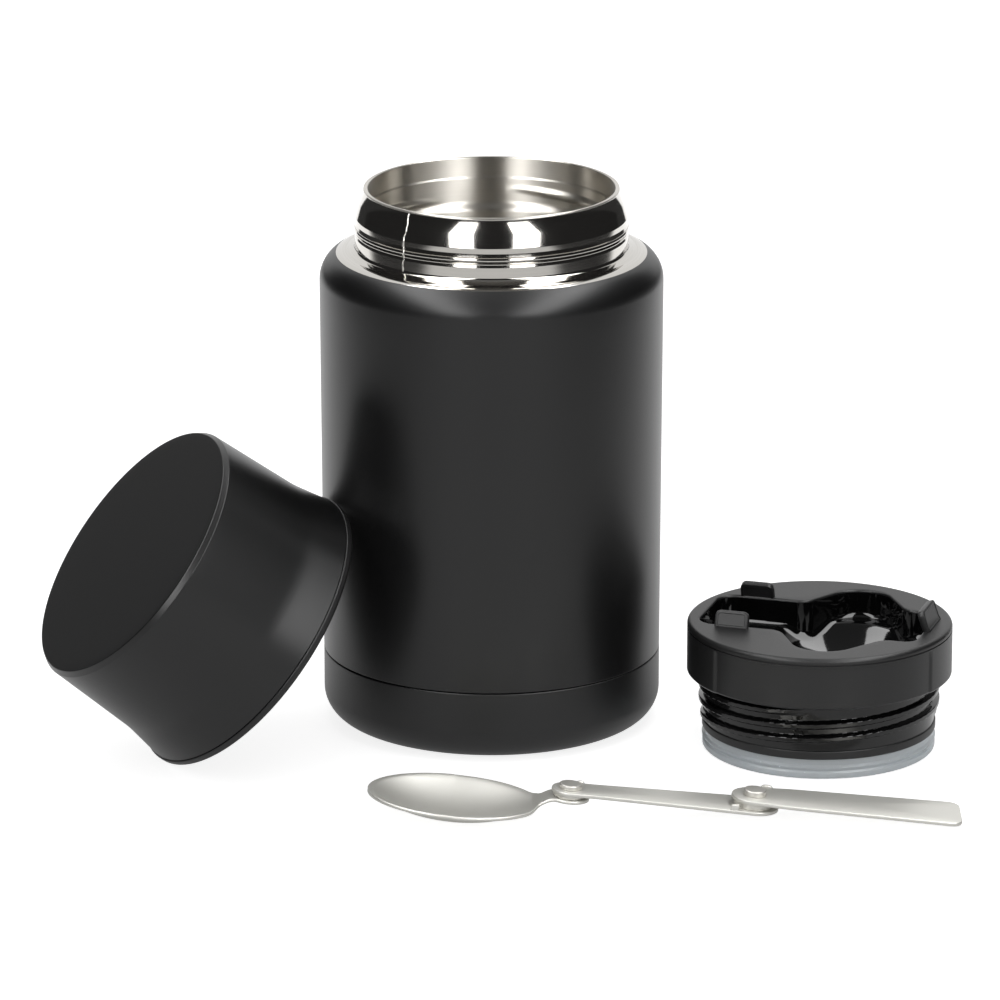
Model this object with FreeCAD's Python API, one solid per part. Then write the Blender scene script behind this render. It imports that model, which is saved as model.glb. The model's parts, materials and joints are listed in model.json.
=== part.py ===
import FreeCAD, Part
import math
import os
from FreeCAD import Placement, Rotation, Vector

os.makedirs("parts", exist_ok=True)

# Insulated food jar with its cup lid, screw stopper and folding spoon laid out around it.
# Millimetres. The origin is the centre of the jar's base on the table, +Z is up.

# Fits between pieces
weld_gap = 0.05
press_gap = 0.02
running_gap = 0.05
sliding_gap = 0.1
leaning_gap = 0.3

# Jar body
jar_radius = 45.0
jar_widening = 0.6
jar_shoulder_rise = 1.3
jar_shoulder_rounding = 8.0
shell_wall = 0.6
seam_height = 19.3
seam_width = 0.25
seam_chamfer = 0.25

# Base cap, which hides the shell's drawn-in lower end
cap_wall = 1.6
cap_floor = 3.0
cap_rounding = 8.0
shell_end_rounding = 7.0
shell_flange_width = 2.3
disc_wall = 0.6

# Neck: its heights follow from the rim down, and its radii from the mouth out
rim_height = 145.3
rim_lip = 0.4
rim_rounding = 0.25
mouth_radius = 32.7
mouth_depth = 5.3
liner_wall = 0.5
neck_band_drop = 7.6
neck_band_reach = 3.3
neck_band_height = 1.4
neck_bead_drop = 1.8
neck_bead_reach = 3.7
neck_groove_drop = 1.1
neck_groove_depth = 0.4
neck_wall_drop = 0.8
neck_wall_reach = 3.5
neck_root_drop = 3.7
neck_root_rounding = 2.2

# Liner, inside the jar's wall and shoulder
liner_inset = 4.4
liner_floor = 9.0
liner_floor_rounding = 6.0
liner_shoulder_drop = 2.4
liner_shoulder_rounding = 8.0
seat_inset = 1.8
seat_height = 6.0
seat_rounding = 1.5
seat_slope = 1.6
thread_bore_inset = 0.3
foil_wall = 0.2
foil_bottom_rise = 7.0
foil_top_drop = 10.2

# Thread of the neck and the stopper: two starts, right hand
thread_lead = 7.5
thread_starts = 2
ridge_height = 1.3
ridge_foot = 2.4
ridge_crest = 1.0
ridge_sink = 0.4
neck_thread_rise = 2.4
neck_thread_turns = 0.42
neck_thread_angle = -67.0

# Getter and evacuation seal in the vacuum space
getter_radius = 3.5
getter_height = 2.4
getter_offset = 15.0
strap_length = 16.0
strap_width = 5.0
strap_thickness = 0.3
seal_hole_radius = 0.9
seal_head_radius = 2.2
seal_head_height = 0.5

# Cup lid, leaning on the jar with its closed end up and to the left
cup_height = 41.3
cup_wall = 0.6
cup_play = 0.3
cup_top_reach = 0.65
cup_flare_reach = 1.25
cup_flare_height = 13.0
cup_flare_rounding = 25.0
cup_edge_reach = 1.9
cup_chamfer_width = 0.9
cup_chamfer_height = 1.4
cup_small_rounding = 0.4
cup_lip_reach = 0.4
cup_lip_height = 2.0
cup_lip_rounding = 0.8
cup_lip_gap = 0.2
cup_liner_height = 16.0
cup_snap_height = 8.6
cup_snap_rise = 0.7
cup_snap_half_width = 1.2
cup_turn = -160.1
cup_tilt = 38.3
cup_bearing = -154.4

# Stopper, standing on its gasket
stopper_x = 86.9
stopper_y = -27.0
stopper_turn = -17.0
cover_radius = 35.1
cover_top = 34.2
cover_bottom = 20.1
cover_plate = 2.0
cover_skirt = 2.05
cover_edge_rounding = 1.2
cover_chamfer = 0.6
cover_groove_depth = 0.3
cover_groove_width = 0.4
cover_groove_drop = 1.5
grip_depth = 0.35
grip_span = 108.0
grip_top_drop = 2.4
stopper_play = 0.7
stopper_body_bottom = 7.6
stopper_thread_bottom = 9.0
stopper_thread_turns = 1.27
stopper_thread_angle = 167.0
stopper_body_wall = 2.3
foam_top = 15.5
base_band_reach = 0.1
base_band_bottom = 5.3
base_bottom = 0.6
base_stub_radius = 27.5
base_wall = 2.0
base_plate = 1.6
gasket_width = 3.4
gasket_lip_reach = 0.25
gasket_lip_height = 3.1
gasket_groove = 0.5

# Spoon recess in the stopper: two arms and a wide middle with a scooped floor
recess_shift = 1.1
recess_left = 30.8
recess_right = 28.6
recess_arm_half = 13.1
recess_left_rounding = 5.0
recess_right_rounding = 3.2
recess_waist_left = -7.5
recess_waist_right = 20.0
recess_waist_rounding = 5.0
recess_belly_half = 27.4
recess_belly_left = 0.8
recess_belly_right = 10.8
recess_belly_rounding = 9.0
recess_floor = 26.5
scoop_floor = 18.5
scoop_radius = 22.0
scoop_shift = 5.0
tab_length = 9.0
tab_thickness = 1.9
tab_height = 3.8
tab_rounding = 1.6
tab_foot = 1.0
tab_lean = 20.0
tab_back_centre = -21.0
tab_front_centre = -20.7
wide_tab_length = 12.4
wide_tab_height = 5.2
wide_tab_shift = 2.4

# Folding spoon, lying open in front of the jar
spoon_x = 20.15
spoon_y = -87.8
plate = 1.0
bowl_tip = 52.0
bowl_half_length = 22.4
bowl_half_width = 17.0
bowl_rim_drop = 2.9
bowl_depth = 5.7
neck_half_width = 4.0
neck_end_radius = 5.2
neck_rise_start = 4.4
neck_rise_length = 6.1
neck_bend = 4.0
front_spacer = 1.0
rear_spacer = 1.7
link_length = 47.5
link_front_radius = 4.8
link_front_half = 4.3
link_rear_half = 6.4
link_rear_radius = 6.5
handle_length = 53.5
handle_front_radius = 6.0
handle_waist_half = 7.15
handle_waist_length = 9.0
handle_end_half = 8.6
handle_end_rounding = 3.0
rivet_radius = 1.6
rivet_head_radius = 2.95
front_head_height = 1.2
rear_head_height = 1.5
rivet_head_rounding = 0.4
rivet_foot_radius = 2.6
rivet_foot_height = 0.5
front_washer_radius = 4.2
rear_washer_radius = 5.2
front_ear_length = 2.4
rear_ear_length = 3.8
ear_thickness = 1.1
ear_gap = 0.3
ear_start = 1.5
ear_rise = 0.2
rest_back = 4.1
rest_length = 1.9
rest_width = 1.2
rest_gap = 0.25

# Construction: steps of the bisections, points tried round the cup's circle, smallest drawn edge
halvings = 50
circle_points = 720
shortest_edge = 1e-6
straight_half_angle = math.radians(89.9)
steepest_spoon = math.radians(30)


def turned_left(path, distance):
    """The same open path moved to its left, with its roundings kept concentric."""
    moved = []
    for index, (a, b, rounding) in enumerate(path):
        directions = []
        for first, second in ((index - 1, index), (index, index + 1)):
            if first < 0 or second >= len(path):
                continue
            run = Vector(path[second][0] - path[first][0], path[second][1] - path[first][1], 0)
            directions.append(run.normalize())
        before = directions[0]
        after = directions[-1]
        normal = Vector(-before.y - after.y, before.x + after.x, 0)
        normal = normal * (distance / (1 + before.dot(after)))
        turn = before.x * after.y - before.y * after.x
        side = -1 if turn > 0 else 1
        new_rounding = max(0.0, rounding + side * distance) if rounding else 0.0
        moved.append((a + normal.x, b + normal.y, new_rounding))
    return moved


def rounded_wire(corners, place):
    """A closed wire through corners (a, b, rounding), each rounded by a tangent arc.

    Two arcs that would meet on a side too short for both share it.
    """
    count = len(corners)
    points = [Vector(a, b, 0) for a, b, rounding in corners]
    arms = []
    halves = []
    backs = []
    for index, (a, b, rounding) in enumerate(corners):
        to_last = (points[index - 1] - points[index]).normalize()
        to_next = (points[(index + 1) % count] - points[index]).normalize()
        half = math.acos(max(-1.0, min(1.0, to_last.dot(to_next)))) / 2
        sharp = rounding <= 0 or half > straight_half_angle
        arms.append((to_last, to_next))
        halves.append(half)
        backs.append(0.0 if sharp else rounding / math.tan(half))
    starts = []
    middles = []
    ends = []
    for index, here in enumerate(points):
        if backs[index] == 0:
            starts.append(here)
            middles.append(None)
            ends.append(here)
            continue
        back = backs[index]
        for beside in (index - 1, (index + 1) % count):
            side = here.distanceToPoint(points[beside])
            needed = backs[index] + backs[beside]
            back = min(back, backs[index] * side / needed)
        to_last, to_next = arms[index]
        inward = (to_last + to_next).normalize()
        rounding = back * math.tan(halves[index])
        centre = here + inward * (rounding / math.sin(halves[index]))
        starts.append(here + to_last * back)
        middles.append(centre - inward * rounding)
        ends.append(here + to_next * back)
    edges = []
    for index in range(count):
        if middles[index] is not None:
            arc = Part.Arc(place(starts[index]), place(middles[index]), place(ends[index]))
            edges.append(arc.toShape())
        line_start = ends[index]
        line_end = starts[(index + 1) % count]
        if line_start.distanceToPoint(line_end) > shortest_edge:
            edges.append(Part.makeLine(place(line_start), place(line_end)))
    return Part.Wire(edges)


def turned(corners):
    """A solid of revolution about Z from corners (radius, height, rounding)."""
    wire = rounded_wire(corners, lambda point: Vector(point.x, 0, point.y))
    return Part.Face(wire).revolve(Vector(0, 0, 0), Vector(0, 0, 1), 360)


def walled(path, wall):
    """A turned sheet: the path and the same path moved inward by the wall."""
    return turned(path + turned_left(path, wall)[::-1])


def plate_solid(corners, bottom, thickness):
    """A flat plate from plan corners (x, y, rounding)."""
    wire = rounded_wire(corners, lambda point: Vector(point.x, point.y, bottom))
    return Part.Face(wire).extrude(Vector(0, 0, thickness))


def cylinder(radius, bottom, height, x=0, y=0):
    return Part.makeCylinder(radius, height, Vector(x, y, bottom))


def ring(outer, inner, bottom, height, x=0, y=0):
    return cylinder(outer, bottom, height, x, y).cut(cylinder(inner, bottom, height, x, y))


def block(x_low, x_high, y_low, y_high, z_low, z_high):
    size = (x_high - x_low, y_high - y_low, z_high - z_low)
    return Part.makeBox(size[0], size[1], size[2], Vector(x_low, y_low, z_low))


def thread_ridges(root_radius, outward, bottom, turns, angle):
    """Helical ridges, one for each start, sunk a little into the wall they stand on."""
    ridges = []
    foot_radius = root_radius - outward * ridge_sink
    crest_radius = root_radius + outward * ridge_height
    section = [
        Vector(foot_radius, 0, -ridge_foot / 2),
        Vector(crest_radius, 0, -ridge_crest / 2),
        Vector(crest_radius, 0, ridge_crest / 2),
        Vector(foot_radius, 0, ridge_foot / 2),
    ]
    for start in range(thread_starts):
        profile = Part.makePolygon(section + section[:1])
        helix = Part.makeHelix(thread_lead, thread_lead * turns, root_radius)
        ridge = Part.Wire(helix.Edges).makePipeShell([profile], True, True)
        ridge.rotate(Vector(0, 0, 0), Vector(0, 0, 1), angle + start * 360 / thread_starts)
        ridge.translate(Vector(0, 0, bottom))
        ridges.append(ridge)
    return ridges


def save(node, shape):
    """One solid to parts/NODE.step."""
    solid = shape.removeSplitter()
    if len(solid.Solids) == 1:
        solid = solid.Solids[0]
    solid.exportStep("parts/" + node + ".step")
    print(node, len(shape.Solids), round(shape.Volume, 1), shape.isValid())


# Outer shell: one deep-drawn steel skin, from its turned-in flange under the base to the neck.
rim_radius = mouth_radius + liner_wall + weld_gap + shell_wall
lip_bottom = rim_height - rim_lip
neck_band_top = rim_height - neck_band_drop
neck_band_bottom = neck_band_top - neck_band_height
neck_bead_middle = neck_band_bottom - neck_bead_drop
neck_groove_middle = neck_bead_middle - neck_groove_drop
neck_wall_top = neck_groove_middle - neck_wall_drop
neck_root_height = neck_wall_top - neck_root_drop
neck_band_radius = mouth_radius + neck_band_reach
neck_bead_radius = mouth_radius + neck_bead_reach
neck_wall_radius = mouth_radius + neck_wall_reach
jar_shoulder_height = neck_root_height - jar_shoulder_rise
jar_shoulder_radius = jar_radius + jar_widening
shell_end_radius = jar_radius - cap_wall - sliding_gap
flange_inner_radius = shell_end_radius - shell_end_rounding - shell_flange_width
shell_path = [
    (flange_inner_radius, cap_floor, 0),
    (shell_end_radius, cap_floor, shell_end_rounding),
    (shell_end_radius, seam_height, 0),
    (jar_radius, seam_height, seam_chamfer),
    (jar_shoulder_radius, jar_shoulder_height, jar_shoulder_rounding),
    (neck_wall_radius, neck_root_height, neck_root_rounding),
    (neck_wall_radius, neck_wall_top, shell_wall),
    (neck_bead_radius - neck_groove_depth, neck_groove_middle, shell_wall),
    (neck_bead_radius, neck_bead_middle, shell_wall),
    (neck_band_radius, neck_band_bottom, shell_wall),
    (neck_band_radius, neck_band_top, shell_wall),
    (rim_radius, lip_bottom - rim_rounding, 0),
    (rim_radius, lip_bottom, 0),
]
save("outer_shell", walled(shell_path, shell_wall))

# Inner liner: the food vessel, with the stopper's seat, its thread and the rolled rim.
liner_radius = jar_radius - liner_inset
liner_shoulder_height = jar_shoulder_height - liner_shoulder_drop
seat_radius = mouth_radius - seat_inset
seat_top = liner_shoulder_height + seat_height
thread_bore_radius = mouth_radius - thread_bore_inset
liner_path = [
    (0, liner_floor, 0),
    (liner_radius, liner_floor, liner_floor_rounding),
    (liner_radius, liner_shoulder_height, liner_shoulder_rounding),
    (seat_radius, liner_shoulder_height, seat_rounding),
    (seat_radius, seat_top, seat_rounding),
    (thread_bore_radius, seat_top + seat_slope, seat_rounding),
    (thread_bore_radius, rim_height - mouth_depth - liner_wall, liner_wall),
    (mouth_radius, rim_height - mouth_depth, liner_wall),
    (mouth_radius, lip_bottom, 0),
]
rim_corners = [
    (mouth_radius, rim_height, rim_rounding),
    (rim_radius, rim_height, rim_rounding),
    (rim_radius, lip_bottom, 0),
]
liner_back = turned_left(liner_path, -liner_wall)[::-1]
liner = turned(liner_path + rim_corners + liner_back)
neck_thread_bottom = seat_top + neck_thread_rise
neck_ridges = thread_ridges(thread_bore_radius, -1, neck_thread_bottom, neck_thread_turns, neck_thread_angle)
for ridge in neck_ridges:
    liner = liner.fuse(ridge)
save("inner_liner", liner)

# Base: the welded closing disc, its evacuation seal, the getter on its strap, and the outer cap.
disc_bottom = cap_floor + shell_wall
disc_top = disc_bottom + disc_wall
disc_radius = shell_end_radius - shell_end_rounding
disc = cylinder(disc_radius, disc_bottom, disc_wall)
save("bottom_disc", disc.cut(cylinder(seal_hole_radius + press_gap, disc_bottom, disc_wall)))
seal = cylinder(seal_head_radius, disc_bottom - seal_head_height, seal_head_height)
save("seal_pellet", seal.fuse(cylinder(seal_hole_radius, disc_bottom, disc_wall)))
strap_half = strap_length / 2
strap_plan = [
    (getter_offset - strap_half, -strap_width / 2, strap_thickness),
    (getter_offset + strap_half, -strap_width / 2, strap_thickness),
    (getter_offset + strap_half, strap_width / 2, strap_thickness),
    (getter_offset - strap_half, strap_width / 2, strap_thickness),
]
save("getter_strap", plate_solid(strap_plan, disc_top, strap_thickness))
save("getter_pill", cylinder(getter_radius, disc_top + strap_thickness, getter_height, getter_offset))
foil_inner = liner_radius + liner_wall + weld_gap
foil_bottom = liner_floor + foil_bottom_rise
foil_height = liner_shoulder_height - foil_top_drop - foil_bottom
save("radiation_foil", ring(foil_inner + foil_wall, foil_inner, foil_bottom, foil_height))
cap_top = seam_height - seam_width
cap_inner = jar_radius - cap_wall
save("base_cap", turned([
    (0, 0, 0),
    (jar_radius, 0, cap_rounding),
    (jar_radius, cap_top, seam_chamfer),
    (cap_inner, cap_top, 0),
    (cap_inner, cap_floor, shell_end_rounding + sliding_gap),
    (0, cap_floor, 0),
]))


# Cup lid: a steel cup with a moulded liner ring, built upright and then leant on the jar.
def ring_point(radius, height, angle):
    """A point of the cup's circle at this radius and height, before the cup is moved."""
    local = Vector(radius * math.cos(angle), radius * math.sin(angle), height)
    return cup_rotation.multVec(local)


def leaning_distance():
    """How far the cup's centre stands from the jar's axis when its lip nearly touches the jar."""
    bearing = Vector(math.cos(math.radians(cup_bearing)), math.sin(math.radians(cup_bearing)), 0)
    widening = (jar_shoulder_radius - jar_radius) / (jar_shoulder_height - seam_height)
    near = 0
    far = jar_shoulder_radius + cup_height + cup_lip_radius
    circles = [
        (lip_ring, cup_lip_rounding, cup_lip_rounding),
        (cup_lip_radius, cup_lip_height, 0),
        (cup_edge_radius, cup_edge_height, 0),
    ]
    for step in range(halvings):
        middle = (near + far) / 2
        least = far
        for index in range(circle_points):
            angle = 2 * math.pi * index / circle_points
            for radius, height, bulge in circles:
                point = ring_point(radius, height, angle) + bearing * middle
                wall = jar_radius + widening * (point.z + cup_z - seam_height)
                least = min(least, math.hypot(point.x, point.y) - bulge - wall)
        if least < leaning_gap:
            near = middle
        else:
            far = middle
    return far


cup_liner_radius = neck_bead_radius + cup_play
cup_top_radius = cup_liner_radius + cup_top_reach
cup_flare_radius = cup_top_radius + cup_flare_reach
cup_edge_radius = cup_flare_radius + cup_edge_reach
cup_lip_radius = cup_edge_radius + cup_lip_reach
cup_edge_height = cup_lip_height + cup_lip_gap
tilt = math.radians(cup_tilt)
cup_rotation = Rotation(Vector(0, 0, 1), cup_turn).multiply(Rotation(Vector(0, 1, 0), 90 - cup_tilt))
lip_ring = cup_lip_radius - cup_lip_rounding
cup_z = lip_ring * math.cos(tilt) + cup_lip_rounding - cup_lip_rounding * math.sin(tilt)
cup_distance = leaning_distance()
cup_x = cup_distance * math.cos(math.radians(cup_bearing))
cup_y = cup_distance * math.sin(math.radians(cup_bearing))
cup_place = Placement(Vector(cup_x, cup_y, cup_z), cup_rotation)
cup_path = [
    (cup_edge_radius, cup_edge_height, 0),
    (cup_flare_radius, cup_flare_height, cup_flare_rounding),
    (cup_top_radius, cup_height - cup_chamfer_height, cup_small_rounding),
    (cup_top_radius - cup_chamfer_width, cup_height, cup_small_rounding),
    (0, cup_height, 0),
]
cup_shell = walled(cup_path, cup_wall)
cup_shell.Placement = cup_place
save("cup_shell", cup_shell)
cup_liner_outer = turned_left(cup_path[:3], cup_wall + sliding_gap)
liner_top_radius = cup_liner_outer[1][0]
snap_low = cup_snap_height - cup_snap_half_width
snap_high = cup_snap_height + cup_snap_half_width
cup_liner = turned([
    (cup_liner_radius + cup_snap_rise, 0, 0),
    (cup_lip_radius, 0, cup_lip_rounding),
    (cup_lip_radius, cup_lip_height, 0),
    (cup_liner_outer[0][0], cup_lip_height, 0),
    (liner_top_radius, cup_liner_outer[1][1], cup_flare_rounding - cup_wall),
    (liner_top_radius - sliding_gap, cup_liner_height, 0),
    (cup_liner_radius, cup_liner_height, 0),
    (cup_liner_radius, snap_high, 0),
    (cup_liner_radius - cup_snap_rise, cup_snap_height, cup_snap_rise),
    (cup_liner_radius, snap_low, 0),
])
cup_liner.Placement = cup_place
save("cup_liner", cup_liner)


# Stopper: cover, glossy body with the recess, foam filling, base and gasket.
def recess_outline():
    """Half of the recess outline, mirrored, in the recess's own directions."""
    half = [
        (-recess_left, recess_arm_half, recess_left_rounding),
        (recess_waist_left, recess_arm_half, recess_waist_rounding),
        (recess_belly_left, recess_belly_half, recess_belly_rounding),
        (recess_belly_right, recess_belly_half, recess_belly_rounding),
        (recess_waist_right, recess_arm_half, recess_waist_rounding),
        (recess_right, recess_arm_half, recess_right_rounding),
    ]
    mirrored = [(a, -b, rounding) for a, b, rounding in half[::-1]]
    return [(a, b + recess_shift, rounding) for a, b, rounding in half + mirrored]


def leaning_tab(length, height, x, y, facing):
    """A rounded tab at x, y on the recess's edge, leaning over it, with its foot in the cover's plate."""
    half = length / 2
    foot = [(-half, -tab_foot, 0), (half, -tab_foot, 0)]
    head = [(half, height, tab_rounding), (-half, height, tab_rounding)]
    wire = rounded_wire(foot + head, lambda point: Vector(point.x, 0, point.y))
    tab = Part.Face(wire).extrude(Vector(0, tab_thickness, 0))
    tab.rotate(Vector(0, 0, 0), Vector(1, 0, 0), tab_lean)
    tab.rotate(Vector(0, 0, 0), Vector(0, 0, 1), facing)
    tab.translate(Vector(x, y, cover_top))
    return tab


stopper_place = Placement(Vector(stopper_x, stopper_y, 0), Rotation(Vector(0, 0, 1), stopper_turn))
cover_inner = cover_radius - cover_skirt
plate_bottom = cover_top - cover_plate
groove_top = cover_top - cover_groove_drop
cover = turned([
    (0, plate_bottom, 0),
    (cover_inner, plate_bottom, 0),
    (cover_inner, cover_bottom, 0),
    (cover_radius - cover_chamfer, cover_bottom, 0),
    (cover_radius, cover_bottom + cover_chamfer, 0),
    (cover_radius, groove_top - cover_groove_width, 0),
    (cover_radius - cover_groove_depth, groove_top - cover_groove_width, 0),
    (cover_radius - cover_groove_depth, groove_top, 0),
    (cover_radius, groove_top, 0),
    (cover_radius, cover_top, cover_edge_rounding),
    (0, cover_top, 0),
])
grip_height = cover_top - grip_top_drop - cover_bottom
for side in (0, 180):
    grip = ring(cover_radius + grip_depth, cover_radius - grip_depth, cover_bottom, grip_height)
    wedge_radius = cover_radius + 2 * grip_depth
    wedge_foot = Vector(0, 0, cover_bottom)
    wedge = Part.makeCylinder(wedge_radius, grip_height, wedge_foot, Vector(0, 0, 1), grip_span)
    wedge.rotate(Vector(0, 0, 0), Vector(0, 0, 1), side - 90 - stopper_turn - grip_span / 2)
    cover = cover.cut(grip.common(wedge))
recess_cut = plate_solid(recess_outline(), recess_floor, cover_top - recess_floor)
cover = cover.cut(recess_cut)
recess_back = recess_shift + recess_arm_half
recess_front = recess_shift - recess_arm_half
cover = cover.fuse(leaning_tab(tab_length, tab_height, tab_back_centre, recess_back, 0))
cover = cover.fuse(leaning_tab(tab_length, tab_height, tab_front_centre, recess_front, 180))
wide_tab_y = recess_shift + wide_tab_shift
cover = cover.fuse(leaning_tab(wide_tab_length, wide_tab_height, recess_right, wide_tab_y, 270))
cover = cover.common(cylinder(cover_radius, 0, cover_top + wide_tab_height + tab_thickness))
cover.Placement = stopper_place
save("stopper_cover", cover)

thread_root_radius = mouth_radius - stopper_play - ridge_height
foam_radius = thread_root_radius - stopper_body_wall
body_flange_radius = cover_inner - press_gap
body_top = plate_bottom
body = turned([
    (0, foam_top, 0),
    (foam_radius, foam_top, 0),
    (foam_radius, stopper_body_bottom, 0),
    (thread_root_radius, stopper_body_bottom, 0),
    (thread_root_radius, cover_bottom, 0),
    (body_flange_radius, cover_bottom, 0),
    (body_flange_radius, body_top, 0),
    (0, body_top, 0),
])
scoop_depth = recess_floor - scoop_floor
scoop_sphere = (scoop_radius ** 2 + scoop_depth ** 2) / (2 * scoop_depth)
scoop_centre = Vector(scoop_shift, recess_shift, scoop_floor + scoop_sphere)
scoop = Part.makeSphere(scoop_sphere, scoop_centre)
scoop = scoop.common(cylinder(scoop_radius, scoop_floor, scoop_depth, scoop_shift, recess_shift))
body = body.cut(recess_cut).cut(scoop)
ridge_angle = stopper_thread_angle - stopper_turn
body_ridges = thread_ridges(thread_root_radius, 1, stopper_thread_bottom, stopper_thread_turns, ridge_angle)
for ridge in body_ridges:
    body = body.fuse(ridge)
body.Placement = stopper_place
save("stopper_body", body)

stub_inner = base_stub_radius - base_wall
gasket_foot_radius = base_stub_radius + gasket_width
base_band_radius = gasket_foot_radius + base_band_reach
plate_top = base_bottom + base_plate
base_top = stopper_body_bottom - press_gap
base = turned([
    (0, base_bottom, 0),
    (base_stub_radius, base_bottom, 0),
    (base_stub_radius, base_band_bottom, 0),
    (base_band_radius, base_band_bottom, 0),
    (base_band_radius, base_top, 0),
    (stub_inner, base_top, 0),
    (stub_inner, plate_top, 0),
    (0, plate_top, 0),
])
base.Placement = stopper_place
save("stopper_base", base)
foam = turned([
    (0, plate_top + press_gap, 0),
    (stub_inner - press_gap, plate_top + press_gap, 0),
    (stub_inner - press_gap, stopper_body_bottom, 0),
    (foam_radius - press_gap, stopper_body_bottom, 0),
    (foam_radius - press_gap, foam_top - press_gap, 0),
    (0, foam_top - press_gap, 0),
])
foam.Placement = stopper_place
save("stopper_foam", foam)
groove_low = gasket_lip_height - 2 * gasket_groove
groove_high = gasket_lip_height + gasket_groove
gasket = turned([
    (base_stub_radius + press_gap, 0, 0),
    (gasket_foot_radius, 0, gasket_groove),
    (gasket_foot_radius, groove_low - gasket_groove, 0),
    (gasket_foot_radius - gasket_groove, groove_low, 0),
    (gasket_foot_radius + gasket_lip_reach, gasket_lip_height, 0),
    (gasket_foot_radius - gasket_groove, groove_high, 0),
    (gasket_foot_radius - gasket_groove, base_band_bottom - press_gap, gasket_groove / 2),
    (base_stub_radius + press_gap, base_band_bottom - press_gap, 0),
])
gasket.Placement = stopper_place
save("gasket", gasket)


def resting_tilt():
    """The tilt at which the bowl's belly and the handle's end both touch the table."""
    low = 0.0
    high = steepest_spoon
    for step in range(halvings):
        middle = (low + high) / 2
        sine = math.sin(middle)
        cosine = math.cos(middle)
        pivot_height = spoon_end * sine - handle_bottom * cosine
        belly = math.hypot(bowl_curve * bowl_stretch * sine, bowl_curve * cosine)
        if pivot_height + bowl_middle * sine + bowl_centre_height * cosine < belly:
            low = middle
        else:
            high = middle
    return high


# Spoon: built flat with the front pivot at its origin, then tilted to rest on its belly and handle.
link_bottom = front_spacer
link_top = link_bottom + plate
handle_bottom = link_top + rear_spacer
handle_top = handle_bottom + plate
spoon_end = link_length + handle_length
bowl_middle = bowl_tip - bowl_half_length
bowl_curve = (bowl_half_width ** 2 + bowl_depth ** 2) / (2 * bowl_depth)
bowl_stretch = bowl_half_length / bowl_half_width
bowl_centre_height = bowl_curve - bowl_depth - bowl_rim_drop
spoon_tilt = resting_tilt()
spoon_z = spoon_end * math.sin(spoon_tilt) - handle_bottom * math.cos(spoon_tilt)
spoon_rotation = Rotation(Vector(0, 1, 0), math.degrees(spoon_tilt))
spoon_place = Placement(Vector(spoon_x, spoon_y, spoon_z), spoon_rotation)


def egg(radius):
    """A ball drawn out along the spoon's length."""
    stretch = FreeCAD.Matrix()
    stretch.scale(bowl_stretch, 1, 1)
    return Part.makeSphere(radius).transformGeometry(stretch)


def rivet(head_bottom, head_height, foot_bottom, x):
    """A shouldered rivet, turned about the pivot, with its low foot below and its head on top."""
    corners = [
        (0, foot_bottom, 0),
        (rivet_foot_radius, foot_bottom, 0),
        (rivet_foot_radius, foot_bottom + rivet_foot_height, 0),
        (rivet_radius, foot_bottom + rivet_foot_height, 0),
        (rivet_radius, head_bottom, 0),
        (rivet_head_radius, head_bottom, 0),
        (rivet_head_radius, head_bottom + head_height, rivet_head_rounding),
        (0, head_bottom + head_height, 0),
    ]
    solid = turned(corners)
    solid.translate(Vector(x, 0, 0))
    return solid


def ear(pivot_x, plate_bottom_height, edge, top, length):
    """The bent-up stop beside a pivot, on the side away from the fold."""
    low = pivot_x + ear_start
    high = low + length
    inner = edge + ear_gap
    outer = inner + ear_thickness
    foot = block(low, high, edge / 2, outer, plate_bottom_height, plate_bottom_height + plate)
    return foot.fuse(block(low, high, inner, outer, plate_bottom_height, top))


def spoon_piece(node, shape):
    shape.Placement = spoon_place.multiply(shape.Placement)
    save(node, shape)


# Bowl: a pressed sheet, the lower part of a hollow egg, with the neck strip, its plate and its stop.
bowl = egg(bowl_curve).cut(egg(bowl_curve - plate))
bowl.translate(Vector(-bowl_middle, 0, bowl_centre_height))
bowl_bottom = -bowl_rim_drop - bowl_depth
bowl = bowl.common(block(-2 * bowl_tip, 0, -bowl_tip, bowl_tip, bowl_bottom - plate, -bowl_rim_drop))
strip_path = [
    (-neck_rise_start - neck_rise_length, -bowl_rim_drop, 0),
    (-neck_rise_start, 0, neck_bend),
    (0, 0, 0),
]
strip_corners = strip_path + turned_left(strip_path, -plate)[::-1]
strip_wire = rounded_wire(strip_corners, lambda point: Vector(point.x, -neck_half_width, point.y))
neck = Part.Face(strip_wire).extrude(Vector(0, 2 * neck_half_width, 0))
neck = neck.fuse(cylinder(neck_end_radius, -plate, plate))
neck = neck.fuse(ear(0, -plate, link_front_radius, link_top + ear_rise, front_ear_length))
bowl = bowl.fuse(neck).cut(cylinder(rivet_radius + press_gap, -plate, plate))
spoon_piece("spoon_bowl", bowl)

# Link: the middle arm, wider towards the rear pivot, with the rest the folded handle lies over.
link_plan = [
    (0, -link_front_half, 0),
    (link_length, -link_rear_half, 0),
    (link_length, link_rear_half, 0),
    (0, link_front_half, 0),
]
link = plate_solid(link_plan, link_bottom, plate)
link = link.fuse(cylinder(link_front_radius, link_bottom, plate))
link = link.fuse(cylinder(link_rear_radius, link_bottom, plate, link_length))
ear_edge = max(link_rear_radius, handle_front_radius) + (handle_waist_half - handle_front_radius) / 2
link = link.fuse(ear(link_length, link_bottom, ear_edge, handle_top + ear_rise, rear_ear_length))
rest_x = link_length - rest_back - rest_length
rest_y = -link_front_half - (link_rear_half - link_front_half) * rest_x / link_length
rest_top = handle_bottom - rest_gap
rest = block(rest_x, rest_x + rest_length, rest_y, rest_y + rest_width, link_bottom, rest_top)
link = link.fuse(rest)
link = link.cut(cylinder(rivet_radius + running_gap, link_bottom, plate))
link = link.cut(cylinder(rivet_radius + press_gap, link_bottom, plate, link_length))
spoon_piece("spoon_link", link)

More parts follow.
